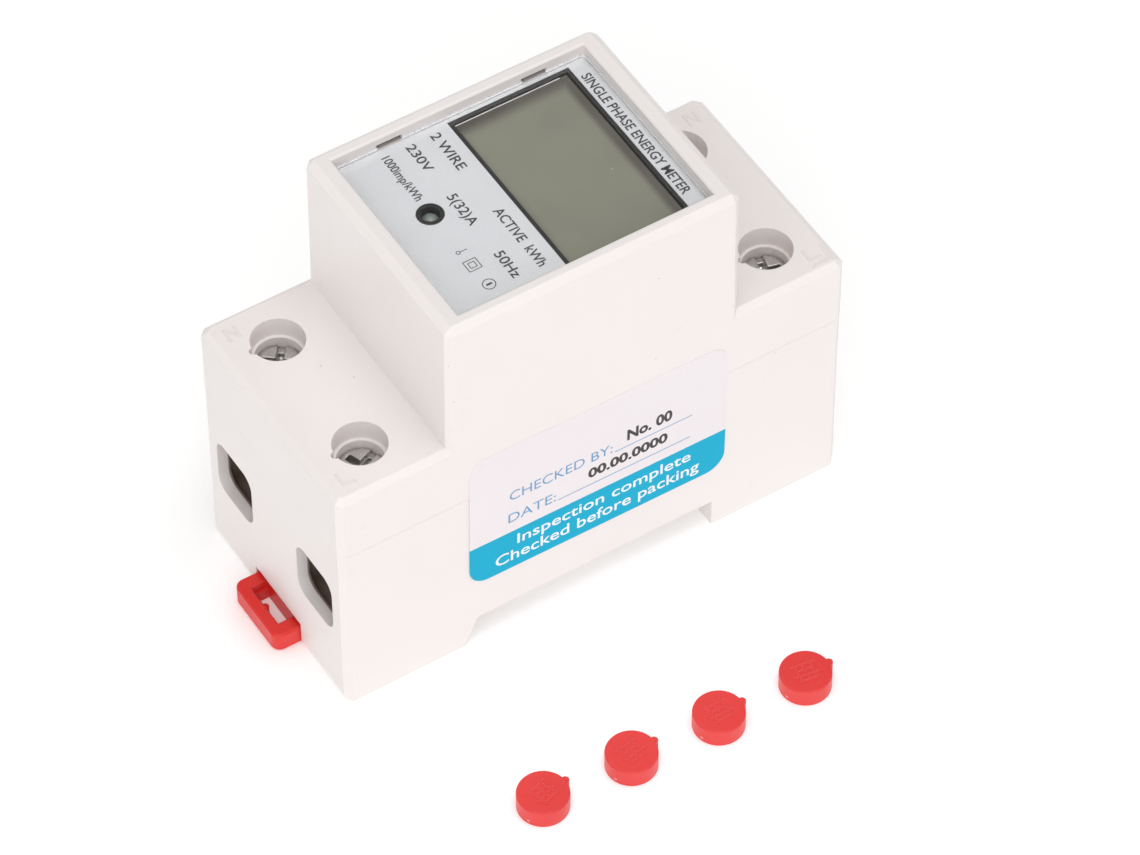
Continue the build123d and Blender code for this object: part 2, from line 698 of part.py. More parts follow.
with BuildPart() as supply_pins:
    with Locations((-14.0, 0, bar_top_z)):
        with GridLocations(1.0, 2 * terminal_y, 1, 2):
            Cylinder(0.6, power_board_z - bar_top_z, align=BOTTOM)
keep(supply_pins, "supply_pins")


# ---------------------------------------------------------------- rising cages and their screws
def rising_cage(x, y):
    """Closed steel box that lifts the wire against the bar when its screw is turned."""
    inside_z = cage_floor_z + cage_floor
    outside_height = cage_top_z - cage_floor_z
    with BuildPart() as piece:
        with Locations((x, y, cage_floor_z)):
            Box(cage_length, 2 * cage_half_width, outside_height, align=BOTTOM)
        fillet(edges().filter_by(Axis.X), cage_corner)
        with Locations((x, y, inside_z)):
            Box(cage_length, 2 * (cage_half_width - cage_side), cage_inside_height, align=BOTTOM,
                mode=Mode.SUBTRACT)
            Cylinder(screw_shank_radius + thread_clearance, outside_height, align=BOTTOM,
                     mode=Mode.SUBTRACT)
    return piece


def terminal_screw(x, y, turn):
    """Pan-head clamp screw with a combined cross and slot, its tip on the bar."""
    tip_z = bar_top_z + screw_tip_gap
    with BuildPart() as piece:
        with Locations((x, y, screw_head_z)):
            Cylinder(screw_head_radius, screw_head_height, align=BOTTOM)
        fillet(faces().sort_by(Axis.Z)[-1].edges(), screw_head_edge)
        with Locations((x, y, tip_z)):
            Cylinder(screw_shank_radius, screw_head_z - tip_z, align=BOTTOM)
        chamfer(faces().sort_by(Axis.Z)[0].edges(), screw_tip_cut)
        with BuildSketch(Plane.XY.offset(screw_head_top)):
            with Locations(Location((x, y), turn)):
                Rectangle(3 * screw_head_radius, slot_width)
        extrude(amount=-slot_depth, mode=Mode.SUBTRACT)
        with BuildSketch(Plane.XY.offset(screw_head_top)):
            with Locations(Location((x, y), turn)):
                Rectangle(cross_span, cross_width)
                Rectangle(cross_width, cross_span)
        extrude(amount=-cross_depth, taper=cross_taper, mode=Mode.SUBTRACT)
    return piece


for place, (x, y, turn) in terminals.items():
    keep(rising_cage(x, y), f"cage_{place}")
    keep(terminal_screw(x, y, turn), f"screw_{place}")


# ---------------------------------------------------------------- rail clip
with BuildPart() as rail_clip:
    jaw_x = -rail_width / 2 + clip_bite
    tab_x = -half_l - clip_reach
    with BuildSketch(Plane.XZ):
        with BuildLine():
            Polyline(
                (tab_x, clip_z),
                (tab_x, clip_top_z),
                (jaw_x, clip_top_z),
                (jaw_x, clip_z + lip_lead_in),
                (jaw_x - lip_lead_in, clip_z),
                close=True,
            )
        make_face()
    extrude(amount=clip_width / 2, both=True)
    fillet(edges().filter_by(Axis.Z).group_by(Axis.X)[0], tab_radius)
    chamfer(faces().sort_by(Axis.X)[0].edges().filter_by(Axis.Y), tab_edge_cut)
    with Locations((tongue_x - tongue_length / 2, 0, groove_mid_z)):
        Box(tongue_length, clip_width + 2 * tongue_depth - clip_side_gap, tongue_height)
    # finger hole with a shallow shelf, and its little hook
    hole_end_x = tab_x + tab_bar + finger_hole[0]
    with Locations((hole_end_x, 0, clip_top_z)):
        Box(*finger_hole, finger_shelf_depth, align=(Align.MAX, Align.CENTER, Align.MAX),
            mode=Mode.SUBTRACT)
        Box(*finger_hole_through, 2 * clip_thickness, align=THROUGH_BACK, mode=Mode.SUBTRACT)
    with Locations((hole_end_x - finger_hole_through[0], hook_y, clip_z)):
        Cylinder(hook_radius, clip_thickness - finger_shelf_depth, align=BOTTOM)
    # window for the stop lug, and the slits that free the two spring fingers
    lug_window = stop_lug + clip_travel + 2 * stop_gap
    with Locations((lug_x - stop_lug / 2 - stop_gap, 0, clip_z)):
        Box(lug_window, stop_lug_width + 3 * stop_gap, 2 * clip_thickness, align=THROUGH,
            mode=Mode.SUBTRACT)
    finger_tip_x = lug_x - wall - spring_finger_length
    slit_y = clip_width / 2 - spring_finger_width
    with Locations((finger_tip_x, 0, clip_z)):
        with GridLocations(1.0, 2 * slit_y, 1, 2):
            Box(spring_finger_length, spring_slit, 2 * clip_thickness, align=THROUGH,
                mode=Mode.SUBTRACT)
        with GridLocations(1.0, clip_width, 1, 2):
            Box(spring_slit, 2 * spring_finger_width, 2 * clip_thickness, align=THROUGH,
                mode=Mode.SUBTRACT)
keep(rail_clip, "rail_clip")


# ---------------------------------------------------------------- case screws
with BuildPart() as case_screws:
    with Locations((0, 0, case_screw_seat_z)):
        with GridLocations(2 * case_screw_x, 0, 2, 1):
            Cylinder(case_screw_head_radius, case_screw_head_height, align=HANG)
            Cylinder(case_screw_radius, case_screw_length, align=BOTTOM)
    chamfer(faces().group_by(Axis.Z)[0].edges(), case_screw_edge)
    chamfer(faces().group_by(Axis.Z)[-1].edges(), case_screw_tip)
    with BuildSketch(Plane.XY.offset(case_screw_seat_z - case_screw_head_height)):
        with GridLocations(2 * case_screw_x, 0, 2, 1):
            Rectangle(case_cross_span, case_cross_width)
            Rectangle(case_cross_width, case_cross_span)
    extrude(amount=case_cross_depth, mode=Mode.SUBTRACT)
keep(case_screws, "case_screws")


# ---------------------------------------------------------------- inspection label
with BuildPart() as inspection_label:
    with BuildSketch(Plane.XZ.offset(half_w)):
        with Locations(Location((label_x, label_z, 0), (0, 0, label_turn))):
            RectangleRounded(label_length, label_height, label_radius)
    extrude(amount=label_thickness)
keep(inspection_label, "inspection_label")


# ---------------------------------------------------------------- loose sealing caps
def sealing_cap(x, y, turn):
    """Push-in plug for a terminal well: a disc with a nib that fits the well's notch."""
    with BuildPart() as piece:
        with Locations((x, y, foot_z)):
            Cylinder(cap_radius, cap_thickness, align=BOTTOM)
        fillet(faces().sort_by(Axis.Z)[-1].edges(), cap_edge_radius)
        with Locations(Location((x, y, foot_z), turn)):
            with Locations((cap_radius, 0)):
                Cylinder(well_notch_radius - cap_well_gap / 2, cap_thickness - cap_edge_radius / 2,
                         align=BOTTOM)
        with Locations((x, y, foot_z)):
            Cylinder(cap_radius - cap_wall, cap_hollow, align=BOTTOM, mode=Mode.SUBTRACT)
    return piece


cap_row = Location((cap_row_x, cap_row_y, 0), (0, 0, cap_row_turn))
for index in range(cap_count):
    spot = (cap_row * Location((index * cap_pitch, 0, 0))).position
    nib_turn = cap_nib_turn + index * cap_nib_step
    keep(sealing_cap(spot.X, spot.Y, nib_turn), f"seal_cap_{index + 1}")
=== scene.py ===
"""Looks of a two-module DIN-rail energy meter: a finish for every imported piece, the print on its
face plate and inspection label, the marks on its sealing caps, and a small studio."""
import bpy
import math
import numpy as np
from mathutils import Matrix, Vector


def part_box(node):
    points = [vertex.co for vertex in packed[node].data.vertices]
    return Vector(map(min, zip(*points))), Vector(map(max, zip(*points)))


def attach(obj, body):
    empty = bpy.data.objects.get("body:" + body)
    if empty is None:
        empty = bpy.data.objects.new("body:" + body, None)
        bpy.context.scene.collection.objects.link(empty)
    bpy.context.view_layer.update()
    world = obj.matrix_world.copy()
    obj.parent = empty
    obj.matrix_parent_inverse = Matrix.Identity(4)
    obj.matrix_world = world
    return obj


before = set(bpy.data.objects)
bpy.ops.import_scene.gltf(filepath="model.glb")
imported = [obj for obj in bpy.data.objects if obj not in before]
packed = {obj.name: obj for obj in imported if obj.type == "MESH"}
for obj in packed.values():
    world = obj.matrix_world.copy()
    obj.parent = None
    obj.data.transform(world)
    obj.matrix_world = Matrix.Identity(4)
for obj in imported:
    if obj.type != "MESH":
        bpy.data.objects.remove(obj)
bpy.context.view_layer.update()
MM = 0.001


# ---------------------------------------------------------------- node trees
def add(tree, kind, feeds=None, **settings):
    """One shader node. settings are its properties; feeds maps a socket's name or number to a
    value or to the output that feeds it."""
    made = tree.nodes.new(kind)
    for name, value in settings.items():
        setattr(made, name, value)
    for name, value in (feeds or {}).items():
        socket = made.inputs[name]
        if isinstance(value, bpy.types.NodeSocket):
            tree.links.new(value, socket)
        else:
            socket.default_value = value
    return made


def calc(tree, operation, a, b=0.0, clamp=False):
    """The output of one Math node."""
    return add(tree, "ShaderNodeMath", {0: a, 1: b}, operation=operation, use_clamp=clamp).outputs[0]


def blend_colour(tree, share, under, over):
    """Two colours mixed by share, from under at 0 to over at 1."""
    made = add(tree, "ShaderNodeMix", {0: share, 6: under, 7: over}, data_type="RGBA", blend_type="MIX")
    return made.outputs[2]


def ramp(tree, value, low, high, to_low=0.0, to_high=1.0):
    """value carried from low..high to to_low..to_high, held at both ends."""
    feeds = {0: value, 1: low, 2: high, 3: to_low, 4: to_high}
    return add(tree, "ShaderNodeMapRange", feeds, interpolation_type="SMOOTHSTEP").outputs[0]


def noise(tree, place, per_metre, detail=2.0, rough=0.5):
    """Fractal noise with a grain of 1 / per_metre metres."""
    feeds = {"Vector": place, "Scale": per_metre, "Detail": detail, "Roughness": rough}
    return add(tree, "ShaderNodeTexNoise", feeds).outputs[0]


def stretch(tree, place, scale):
    """The place coordinates scaled on each axis."""
    return add(tree, "ShaderNodeMapping", {"Vector": place, "Scale": scale}).outputs[0]


def new_group(name, inputs, outputs):
    """An empty shader node group with its named sockets."""
    group = bpy.data.node_groups.new(name, "ShaderNodeTree")
    for label, kind, value in inputs:
        socket = group.interface.new_socket(label, in_out="INPUT", socket_type="NodeSocket" + kind)
        if value is not None:
            socket.default_value = value
    for label, kind in outputs:
        group.interface.new_socket(label, in_out="OUTPUT", socket_type="NodeSocket" + kind)
    return group, add(group, "NodeGroupInput").outputs, add(group, "NodeGroupOutput").inputs


def moulding_group():
    """Moulded plastic: slow mottle in the colour, sparse dark specks, fine hair scratches that
    catch the light, a handled sheen and a fine spark-eroded grain."""
    group, given, out = new_group("moulded surface", [
        ("Place", "Vector", None), ("Colour", "Color", (0.8, 0.8, 0.8, 1)),
        ("Shade", "Color", (0.7, 0.7, 0.7, 1)),
        ("Speck Colour", "Color", (0.3, 0.25, 0.22, 1)), ("Mottle", "Float", 0.3), ("Specks", "Float", 0.5),
        ("Scratches", "Float", 0.3), ("Roughness", "Float", 0.45), ("Grain", "Float", 0.5),
    ], [("Colour", "Color"), ("Roughness", "Float"), ("Height", "Float")])
    place = given["Place"]
    slow = noise(group, place, 55.0, 3.0, 0.55)
    mottle = calc(group, "MULTIPLY", ramp(group, slow, 0.35, 0.7), given["Mottle"])
    base = blend_colour(group, mottle, given["Colour"], given["Shade"])
    cells = add(group, "ShaderNodeTexVoronoi", {"Vector": place, "Scale": 420.0, "Randomness": 1.0})
    pick = add(group, "ShaderNodeSeparateColor", {0: cells.outputs["Color"]}).outputs
    chosen = calc(group, "GREATER_THAN", pick[0], 0.84)
    speck_size = calc(group, "MULTIPLY_ADD", pick[1], 0.05)
    speck_size.node.inputs[2].default_value = 0.02
    near = calc(group, "LESS_THAN", cells.outputs["Distance"], speck_size)
    speck = calc(group, "MULTIPLY", calc(group, "MULTIPLY", chosen, near), given["Specks"])
    base = blend_colour(group, speck, base, given["Speck Colour"])
    wander = noise(group, stretch(group, place, (1.0, 1.6, 0.7)), 130.0, 1.5, 0.4)
    band = calc(group, "ABSOLUTE", calc(group, "SUBTRACT", wander, 0.5))
    hair = calc(group, "SUBTRACT", 1.0, ramp(group, band, 0.0, 0.0022))
    patches = ramp(group, noise(group, place, 210.0, 1.0), 0.64, 0.7)
    hair = calc(group, "MULTIPLY", calc(group, "MULTIPLY", hair, patches), given["Scratches"])
    base = blend_colour(group, calc(group, "MULTIPLY", hair, 0.5), base, given["Speck Colour"])
    handled = ramp(group, noise(group, place, 140.0, 3.0, 0.6), 0.3, 0.75, -0.05, 0.06)
    rough = calc(group, "ADD", given["Roughness"], handled)
    rough = calc(group, "ADD", rough, calc(group, "MULTIPLY", hair, 0.15), clamp=True)
    grain = calc(group, "MULTIPLY", noise(group, place, 5200.0, 2.0, 0.6), given["Grain"])
    sink = calc(group, "MULTIPLY", noise(group, place, 70.0, 1.0), 2.5)
    height = calc(group, "SUBTRACT", calc(group, "ADD", grain, sink), hair)
    group.links.new(base, out["Colour"])
    group.links.new(rough, out["Roughness"])
    group.links.new(height, out["Height"])
    return group


def edge_group():
    """Soft edges: the normal rounded over each sharp edge, and a mask that is 1 on the edge."""
    group, given, out = new_group("soft edges", [("Radius", "Float", 0.0002)],
                                  [("Edge", "Float"), ("Normal", "Vector")])
    rounded = add(group, "ShaderNodeBevel", {"Radius": given["Radius"]}, samples=6).outputs[0]
    flat = add(group, "ShaderNodeNewGeometry").outputs["Normal"]
    same = add(group, "ShaderNodeVectorMath", {0: rounded, 1: flat}, operation="DOT_PRODUCT")
    group.links.new(ramp(group, same.outputs["Value"], 0.995, 0.8), out["Edge"])
    group.links.new(rounded, out["Normal"])
    return group


def metal_group():
    """Worked metal: drawn or turned lines, cloudy plating and small pits."""
    group, given, out = new_group("worked metal", [
        ("Place", "Vector", None), ("Colour", "Color", (0.6, 0.6, 0.6, 1)),
        ("Dull", "Color", (0.4, 0.4, 0.4, 1)),
        ("Lines", "Vector", None), ("Roughness", "Float", 0.3), ("Clouding", "Float", 0.5),
    ], [("Colour", "Color"), ("Roughness", "Float"), ("Height", "Float")])
    place = given["Place"]
    drawn = add(group, "ShaderNodeVectorMath", {0: place, 1: given["Lines"]}, operation="MULTIPLY")
    lines = noise(group, drawn.outputs[0], 1.0, 2.0, 0.65)
    cloud = ramp(group, noise(group, place, 650.0, 3.0, 0.6), 0.35, 0.7)
    cloudy = calc(group, "ADD", cloud, calc(group, "MULTIPLY", lines, 0.4))
    share = calc(group, "MULTIPLY", cloudy, given["Clouding"])
    pits = ramp(group, noise(group, place, 3800.0, 2.0), 0.66, 0.74)
    colour = blend_colour(group, share, given["Colour"], given["Dull"])
    colour = blend_colour(group, calc(group, "MULTIPLY", pits, 0.35), colour, given["Dull"])
    rough = calc(group, "ADD", given["Roughness"], calc(group, "MULTIPLY", share, 0.16))
    rough = calc(group, "ADD", rough, calc(group, "MULTIPLY", pits, 0.12), clamp=True)
    height = calc(group, "SUBTRACT", lines, calc(group, "MULTIPLY", pits, 0.8))
    group.links.new(colour, out["Colour"])
    group.links.new(rough, out["Roughness"])
    group.links.new(height, out["Height"])
    return group


def ink_group():
    """Printed ink: slightly uneven cover, so that the ground shows through in tiny spots."""
    group, given, out = new_group("printed ink", [
        ("Place", "Vector", None), ("Ink", "Color", (0.02, 0.02, 0.02, 1)),
        ("Ground", "Color", (0.7, 0.7, 0.7, 1)), ("Thin", "Float", 0.2),
    ], [("Colour", "Color"), ("Roughness", "Float")])
    spots = ramp(group, noise(group, given["Place"], 4200.0, 2.0), 0.5, 0.72)
    slow = noise(group, given["Place"], 300.0, 2.0)
    bare = calc(group, "ADD", spots, calc(group, "MULTIPLY", slow, 0.4))
    share = calc(group, "MULTIPLY", bare, given["Thin"])
    group.links.new(blend_colour(group, share, given["Ink"], given["Ground"]), out["Colour"])
    group.links.new(ramp(group, slow, 0.2, 0.8, 0.42, 0.56), out["Roughness"])
    return group


moulded = moulding_group()
soft_edges = edge_group()
worked = metal_group()
inked = ink_group()


def start_material(name):
    """A material with its Principled shader, and the piece's own Object coordinates."""
    made = bpy.data.materials.new(name)
    made.use_nodes = True
    tree = made.node_tree
    shader = next(n for n in tree.nodes if n.type == "BSDF_PRINCIPLED")
    place = add(tree, "ShaderNodeTexCoord").outputs["Object"]
    return made, tree, shader, place


def use_group(tree, group, feeds):
    """A group placed in a material's tree, and its outputs."""
    made = add(tree, "ShaderNodeGroup", node_tree=group)
    for name, value in feeds.items():
        if isinstance(value, bpy.types.NodeSocket):
            tree.links.new(value, made.inputs[name])
        else:
            made.inputs[name].default_value = value
    return made.outputs


def link(tree, source, shader, socket):
    """Feeds one of the shader's sockets."""
    tree.links.new(source, shader.inputs[socket])


def chamber_shade_mask(tree, place):
    """One inside the four terminal chamber spaces, behind the end walls and below the seam; nought
    outside. It places the housing's painted shade.
    """
    x, y, z = add(tree, "ShaderNodeSeparateXYZ", {0: place}).outputs
    behind = ramp(tree, calc(tree, "ABSOLUTE", x), 0.0377, 0.0375)
    between = ramp(tree, calc(tree, "ABSOLUTE", y), 0.0170, 0.0165)
    low = calc(tree, "MULTIPLY", ramp(tree, z, 0.0050, 0.0058), ramp(tree, z, 0.0195, 0.0190))
    return calc(tree, "MULTIPLY", calc(tree, "MULTIPLY", behind, between), low)


def plastic(name, colour, shade, rough=0.45, specks=0.4, scratches=0.3, mottle=0.4, grain=0.4,
            edge=0.0003, edge_highlight=None, speck_colour=(0.30, 0.24, 0.21, 1), bump=0.000012, painted_chamber_shade=None):
    """Injection-moulded plastic with rounded edges and a moulded surface. An edge colour, if given, is
    blended over the rounded edges as a painted highlight; a chamber colour, if given, is painted
    shade inside the terminal chamber spaces."""
    made, tree, shader, place = start_material(name)
    surface = use_group(tree, moulded, {
        "Place": place, "Colour": colour, "Shade": shade, "Speck Colour": speck_colour, "Mottle": mottle,
        "Specks": specks, "Scratches": scratches, "Roughness": rough, "Grain": grain})
    edges = use_group(tree, soft_edges, {"Radius": edge})
    skin = surface["Colour"]
    # painted highlight: the rounded edges blended toward a lighter colour
    if edge_highlight:
        skin = blend_colour(tree, calc(tree, "MULTIPLY", edges["Edge"], 0.6), skin, edge_highlight)
    # painted shade: darker, browner plastic inside the terminal chamber spaces, standing in for their
    # shadow
    if painted_chamber_shade:
        skin = blend_colour(tree, chamber_shade_mask(tree, place), skin, painted_chamber_shade)
    relief = add(tree, "ShaderNodeBump", {"Height": surface["Height"], "Distance": bump, "Strength": 0.6,
                                          "Normal": edges["Normal"]}).outputs[0]
    link(tree, skin, shader, "Base Color")
    link(tree, surface["Roughness"], shader, "Roughness")
    link(tree, relief, shader, "Normal")
    shader.inputs["IOR"].default_value = 1.5
    return made


def metal(name, colour, dull, lines, rough=0.28, clouding=0.5, edge=0.00012, bump=0.000006):
    """Plated or bare metal with drawn lines and softened edges."""
    made, tree, shader, place = start_material(name)
    surface = use_group(tree, worked, {
        "Place": place, "Colour": colour, "Dull": dull, "Lines": lines, "Roughness": rough,
        "Clouding": clouding})
    edges = use_group(tree, soft_edges, {"Radius": edge})
    relief = add(tree, "ShaderNodeBump", {"Height": surface["Height"], "Distance": bump, "Strength": 0.7,
                                          "Normal": edges["Normal"]}).outputs[0]
    link(tree, surface["Colour"], shader, "Base Color")
    link(tree, surface["Roughness"], shader, "Roughness")
    link(tree, relief, shader, "Normal")
    shader.inputs["Metallic"].default_value = 1.0
    return made


def ink(name, colour, ground, thin=0.15):
    """Screen-printed ink on a plate or label."""
    made, tree, shader, place = start_material(name)
    surface = use_group(tree, inked, {"Place": place, "Ink": colour, "Ground": ground, "Thin": thin})
    link(tree, surface["Colour"], shader, "Base Color")
    link(tree, surface["Roughness"], shader, "Roughness")
    return made


# ---------------------------------------------------------------- finishes
# housing: the lighter edge colour is a painted highlight on the rounded edges, and the dark brown chamber
# colour is painted shade inside the housing
housing_white = plastic("warm white housing", (0.875, 0.826, 0.809, 1), (0.835, 0.79, 0.768, 1),
                        rough=0.46, specks=0.7, scratches=0.22, mottle=0.2, grain=0.45, edge=0.0002,
                        edge_highlight=(0.93, 0.905, 0.885, 1), painted_chamber_shade=(0.26, 0.19, 0.165, 1))
# clip and caps: the paler red edge colours are painted highlights on the rounded edges
clip_red = plastic("red clip plastic", (0.80, 0.022, 0.016, 1), (0.70, 0.014, 0.011, 1),
                   rough=0.36, specks=0.12, scratches=0.35, mottle=0.5, grain=0.4, edge=0.0003,
                   edge_highlight=(0.80, 0.10, 0.09, 1), speck_colour=(0.85, 0.35, 0.32, 1))
cap_red = plastic("red cap plastic", (0.80, 0.042, 0.038, 1), (0.71, 0.030, 0.028, 1),
                  rough=0.42, specks=0.1, scratches=0.3, mottle=0.5, grain=1.2, edge=0.00016,
                  edge_highlight=(0.84, 0.16, 0.16, 1), speck_colour=(0.9, 0.45, 0.45, 1), bump=0.00002)
# the raised marks are a little lighter red than the cap plastic: a painted highlight on the ribs
mark_red_highlit = plastic("red raised mark", (0.80, 0.060, 0.056, 1), (0.74, 0.045, 0.042, 1), rough=0.45,
                   specks=0.0, scratches=0.1, mottle=0.3, grain=0.4, edge=0.00003, bump=0.000005)
gate_pale = plastic("torn gate nub", (0.84, 0.24, 0.24, 1), (0.80, 0.16, 0.16, 1), rough=0.3, specks=0.0,
                    scratches=0.0, edge=0.00008)
frame_black = plastic("black frame plastic", (0.020, 0.019, 0.019, 1), (0.035, 0.032, 0.031, 1),
                      rough=0.4, specks=0.1, edge=0.0001, speck_colour=(0.2, 0.2, 0.2, 1))
chip_black = plastic("chip epoxy", (0.018, 0.018, 0.020, 1), (0.040, 0.040, 0.043, 1),
                     rough=0.55, specks=0.3, edge=0.0001, speck_colour=(0.12, 0.12, 0.12, 1), grain=1.4)
capacitor_yellow = plastic("film capacitor case", (0.74, 0.48, 0.06, 1), (0.66, 0.40, 0.04, 1),
                           rough=0.35, specks=0.2, edge=0.0003)
sleeve_dark = plastic("capacitor sleeve", (0.016, 0.020, 0.045, 1), (0.022, 0.030, 0.070, 1),
                      rough=0.3, specks=0.1, edge=0.0002)
varistor_blue = plastic("varistor coating", (0.020, 0.075, 0.30, 1), (0.014, 0.050, 0.21, 1),
                        rough=0.38, specks=0.2, edge=0.0003, grain=1.2)
resistor_grey = plastic("resistor and diode coating", (0.18, 0.20, 0.20, 1), (0.12, 0.14, 0.14, 1),
                        rough=0.5, specks=0.3, edge=0.0002)
reflector_white = plastic("white reflector film", (0.78, 0.78, 0.76, 1), (0.70, 0.70, 0.68, 1),
                          rough=0.6, specks=0.2, edge=0.0001)
screw_zinc = metal("zinc-plated screw", (0.70, 0.69, 0.67, 1), (0.40, 0.39, 0.375, 1),
                   (2600.0, 700.0, 900.0), rough=0.24, clouding=0.5, edge=0.00025)
# painted shade: the cages get a dark brown far below plated steel, for the shadow deep in the terminal
# windows
cage_shaded_dark = metal("plated steel cage", (0.17, 0.135, 0.12, 1), (0.075, 0.055, 0.048, 1),
                  (900.0, 6000.0, 350.0), rough=0.36, clouding=0.7)
bar_brass = metal("copper bar", (0.78, 0.36, 0.22, 1), (0.42, 0.17, 0.10, 1),
                  (250.0, 5200.0, 5200.0), rough=0.3, clouding=0.6)
shunt_grey = metal("manganin shunt", (0.56, 0.42, 0.33, 1), (0.36, 0.26, 0.20, 1),
                   (300.0, 4600.0, 4600.0), rough=0.34, clouding=0.6)
tin_bright = metal("tinned wire", (0.78, 0.77, 0.75, 1), (0.52, 0.51, 0.50, 1),
                   (3800.0, 3800.0, 300.0), rough=0.25, clouding=0.5)
can_bright = metal("crystal can", (0.70, 0.70, 0.69, 1), (0.48, 0.48, 0.48, 1),
                   (600.0, 4200.0, 4200.0), rough=0.22, clouding=0.4)
dark_ink = ink("dark print", (0.030, 0.027, 0.030, 1), (0.45, 0.44, 0.45, 1), thin=0.12)
label_black = ink("black label print", (0.018, 0.012, 0.012, 1), (0.3, 0.28, 0.28, 1), thin=0.1)
label_blue = ink("pale blue label print", (0.085, 0.30, 0.56, 1), (0.75, 0.80, 0.86, 1), thin=0.2)
label_white = ink("white label print", (0.90, 0.93, 0.94, 1), (0.35, 0.70, 0.85, 1), thin=0.12)


def plate_finish():
    """Silver-grey printed polyester with fine silver flake."""
    made, tree, shader, place = start_material("silver face plate")
    surface = use_group(tree, moulded, {
        "Place": place, "Colour": (0.615, 0.618, 0.635, 1), "Shade": (0.58, 0.584, 0.603, 1),
        "Speck Colour": (0.45, 0.45, 0.46, 1), "Mottle": 0.5, "Specks": 0.5, "Scratches": 0.3,
        "Roughness": 0.42, "Grain": 0.6})
    flake = ramp(tree, noise(tree, place, 9000.0, 1.0), 0.45, 0.7)
    silver = calc(tree, "MULTIPLY", flake, 0.25)
    colour = blend_colour(tree, silver, surface["Colour"], (0.93, 0.93, 0.945, 1))
    relief = add(tree, "ShaderNodeBump", {"Height": surface["Height"], "Distance": 0.000008,
                                          "Strength": 0.5})
    link(tree, colour, shader, "Base Color")
    link(tree, surface["Roughness"], shader, "Roughness")
    link(tree, relief.outputs[0], shader, "Normal")
    return made


def display_finish():
    """Grey-green liquid-crystal glass: greyer where the frame's back and load-side edges shade the
    reflector under it, with sparse dust."""
    made, tree, shader, place = start_material("display glass")
    low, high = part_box("lcd_glass")
    x, y, z = add(tree, "ShaderNodeSeparateXYZ", {0: place}).outputs
    from_load = calc(tree, "SUBTRACT", high.x, x)
    from_back = calc(tree, "SUBTRACT", high.y, y)
    from_supply = calc(tree, "SUBTRACT", x, low.x)
    shade_load = ramp(tree, from_load, 0.0008, 0.0021, 0.85, 0.0)
    shade_back = ramp(tree, from_back, 0.0006, 0.0032, 0.95, 0.0)
    shade_supply = ramp(tree, from_supply, 0.0, 0.0012, 0.25, 0.0)
    shade = calc(tree, "MAXIMUM", calc(tree, "MAXIMUM", shade_load, shade_back), shade_supply)
    slow = ramp(tree, noise(tree, place, 90.0, 2.0), 0.3, 0.7, -0.08, 0.08)
    shade = calc(tree, "ADD", shade, slow, clamp=True)
    dust = use_group(tree, moulded, {
        "Place": place, "Colour": (0.235, 0.236, 0.186, 1), "Shade": (0.220, 0.221, 0.174, 1),
        "Speck Colour": (0.5, 0.5, 0.46, 1), "Mottle": 0.4, "Specks": 0.5, "Scratches": 0.05,
        "Roughness": 0.2, "Grain": 0.1})
    colour = blend_colour(tree, shade, dust["Colour"], (0.095, 0.084, 0.075, 1))
    link(tree, colour, shader, "Base Color")
    link(tree, dust["Roughness"], shader, "Roughness")
    shader.inputs["Coat Weight"].default_value = 0.3
    shader.inputs["Coat Roughness"].default_value = 0.05
    return made


def window_finish():
    """Clear polycarbonate with a faint handled haze. Lamps' light passes straight through it."""
    made, tree, shader, place = start_material("clear window")
    surface = use_group(tree, moulded, {
        "Place": place, "Colour": (0.985, 0.99, 0.99, 1), "Shade": (0.97, 0.975, 0.975, 1),
        "Speck Colour": (0.8, 0.8, 0.8, 1), "Mottle": 0.2, "Specks": 0.3, "Scratches": 0.2,
        "Roughness": 0.07, "Grain": 0.05})
    haze = ramp(tree, noise(tree, place, 160.0, 3.0, 0.6), 0.4, 0.8, 0.0, 0.03)
    link(tree, surface["Colour"], shader, "Base Color")
    link(tree, haze, shader, "Roughness")
    shader.inputs["Transmission Weight"].default_value = 1.0
    shader.inputs["IOR"].default_value = 1.49
    clear = add(tree, "ShaderNodeBsdfTransparent", {"Color": (1.0, 1.0, 1.0, 1)}).outputs[0]
    shadow = add(tree, "ShaderNodeLightPath").outputs["Is Shadow Ray"]
    both = add(tree, "ShaderNodeMixShader", {0: shadow, 1: shader.outputs[0], 2: clear}).outputs[0]
    output = next(n for n in tree.nodes if n.type == "OUTPUT_MATERIAL")
    tree.links.new(both, output.inputs["Surface"])
    return made


def lens_finish():
    """Smoked green-grey LED epoxy, darker towards its rim."""
    made, tree, shader, place = start_material("smoked LED lens")
    low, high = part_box("pulse_led")
    centre = ((low + high) / 2).to_tuple()
    away = add(tree, "ShaderNodeVectorMath", {0: place, 1: centre}, operation="SUBTRACT").outputs[0]
    flat = add(tree, "ShaderNodeVectorMath", {0: away, 1: (1, 1, 0)}, operation="MULTIPLY").outputs[0]
    radius = add(tree, "ShaderNodeVectorMath", {0: flat}, operation="LENGTH").outputs["Value"]
    rim = ramp(tree, radius, 0.0009, 0.0015)
    cloud = noise(tree, place, 1400.0, 3.0)
    uneven = calc(tree, "MULTIPLY", calc(tree, "SUBTRACT", cloud, 0.5), 0.5)
    share = calc(tree, "ADD", rim, uneven, clamp=True)
    colour = blend_colour(tree, share, (0.20, 0.235, 0.21, 1), (0.075, 0.088, 0.078, 1))
    link(tree, colour, shader, "Base Color")
    link(tree, ramp(tree, cloud, 0.3, 0.7, 0.1, 0.2), shader, "Roughness")
    shader.inputs["Coat Weight"].default_value = 0.6
    shader.inputs["Coat Roughness"].default_value = 0.06
    return made


